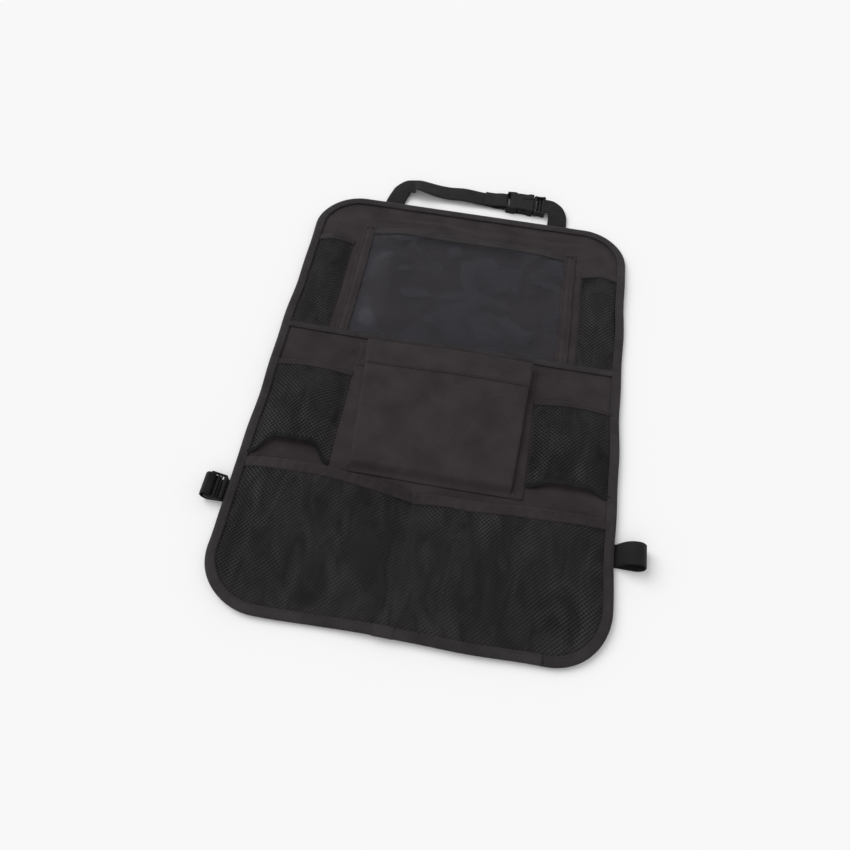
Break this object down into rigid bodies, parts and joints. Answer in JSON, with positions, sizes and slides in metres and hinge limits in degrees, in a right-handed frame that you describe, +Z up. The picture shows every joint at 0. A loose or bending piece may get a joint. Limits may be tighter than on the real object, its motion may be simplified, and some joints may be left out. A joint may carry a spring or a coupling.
{
  "type": "car seat back organizer",
  "caption": "Flat bound fabric panel that hangs behind a car seat, with a clear window pocket, net pockets, a gusseted fabric pocket, a buckled webbing handle and a lower strap.",
  "frame": {"origin": "under the middle of the box round the whole organizer, on the surface it lies on", "axes": "+Y points to the top of the panel, where the handle is; +Z points up, out of the pocket side; +X points to the right of someone who looks at the pockets"},
  "size_m": [0.4774, 0.652, 0.0282],
  "materials": {
    "panel_fabric": "matt woven polyester with a coated back",
    "pocket_fabric": "matt woven polyester",
    "binding_tape": "ribbed binding tape",
    "elastic_band": "folded woven tape over elastic",
    "net": "knitted polyester net",
    "webbing": "ribbed polypropylene webbing",
    "clear_film": "clear soft vinyl film",
    "buckle_plastic": "moulded acetal with a fine satin grain"
  },
  "bodies": {
    "organizer": {"back_panel": "panel_fabric", "edge_binding": "binding_tape", "row_seam_tape": "binding_tape", "window_film": "clear_film", "window_top_band": "pocket_fabric", "window_strip_left": "pocket_fabric", "window_strip_right": "pocket_fabric", "pen_pocket_left": "net", "pen_hem_left": "elastic_band", "pen_pocket_right": "net", "pen_hem_right": "elastic_band", "drink_pocket_left": "net", "drink_band_left": "elastic_band", "drink_elastic_left": "elastic_band", "drink_pocket_right": "net", "drink_band_right": "elastic_band", "drink_elastic_right": "elastic_band", "centre_pocket": "pocket_fabric", "centre_pocket_hem": "pocket_fabric", "lower_pocket_net": "net", "lower_pocket_band": "elastic_band", "handle_strap_long": "webbing", "handle_strap_short": "webbing", "buckle_plug": "buckle_plastic", "lower_strap": "webbing", "ladder_lock": "buckle_plastic", "ladder_lock_tab": "webbing"},
    "socket": {"buckle_socket": "buckle_plastic"}
  },
  "joints": [
    {"name": "socket_release", "type": "slide", "parent": "organizer", "child": "socket", "axis": [-1, 0, 0], "range_m": [0, 0.03], "deforming": ["handle_strap_long", "buckle_plug"]}
  ]
}
